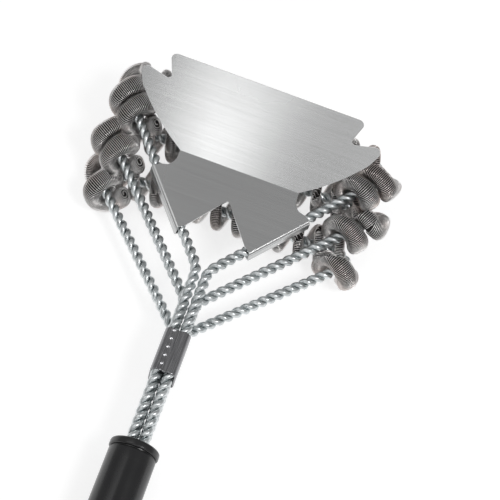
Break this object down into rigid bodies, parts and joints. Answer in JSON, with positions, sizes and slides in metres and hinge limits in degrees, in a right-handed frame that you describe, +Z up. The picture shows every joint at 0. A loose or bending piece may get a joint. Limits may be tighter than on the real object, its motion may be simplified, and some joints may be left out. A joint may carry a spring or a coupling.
{
  "type": "grill cleaning brush",
  "caption": "Bristle-free grill brush: coiled mesh scrubbing rows on nested twisted-wire frames, a bent steel scraper with hooked ears, a long black handle and a swinging hanging loop.",
  "frame": {"origin": "on the ground at the middle of the brush's bounding box, as it lies on a table with the scraper up", "axes": "+Y from the handle towards the scrubbing head, +Z up towards the scraper, +X across the head"},
  "size_m": [0.1697, 0.4722, 0.0708],
  "materials": {
    "gloss_black": "satin gloss",
    "grip_black": "soft matte",
    "core_plastic": "matte",
    "rope_steel": "drawn and galvanised, bright",
    "coil_steel": "fine wire mesh, dull",
    "scraper_steel": "brushed along the blade",
    "ferrule_steel": "polished, dark",
    "loop_wire": "bright wire"
  },
  "bodies": {
    "brush": {"front_collar": "gloss_black", "front_sleeve": "gloss_black", "handle_grip": "grip_black", "handle_core": "core_plastic", "rope_plug": "core_plastic", "ferrule": "ferrule_steel", "scraper": "scraper_steel", "upper_frame_strand_a": "rope_steel", "upper_frame_strand_b": "rope_steel", "middle_frame_strand_a": "rope_steel", "middle_frame_strand_b": "rope_steel", "lower_frame_strand_a": "rope_steel", "lower_frame_strand_b": "rope_steel", "upper_coil": "coil_steel", "middle_coil": "coil_steel", "lower_coil": "coil_steel"},
    "loop": {"hanging_loop": "loop_wire"}
  },
  "joints": [
    {"name": "loop_swing", "type": "hinge", "parent": "brush", "child": "loop", "pos_m": [-0.003, -0.19065, 0.01353], "axis": [1, 0, 0], "range_deg": [-140, 140]}
  ]
}
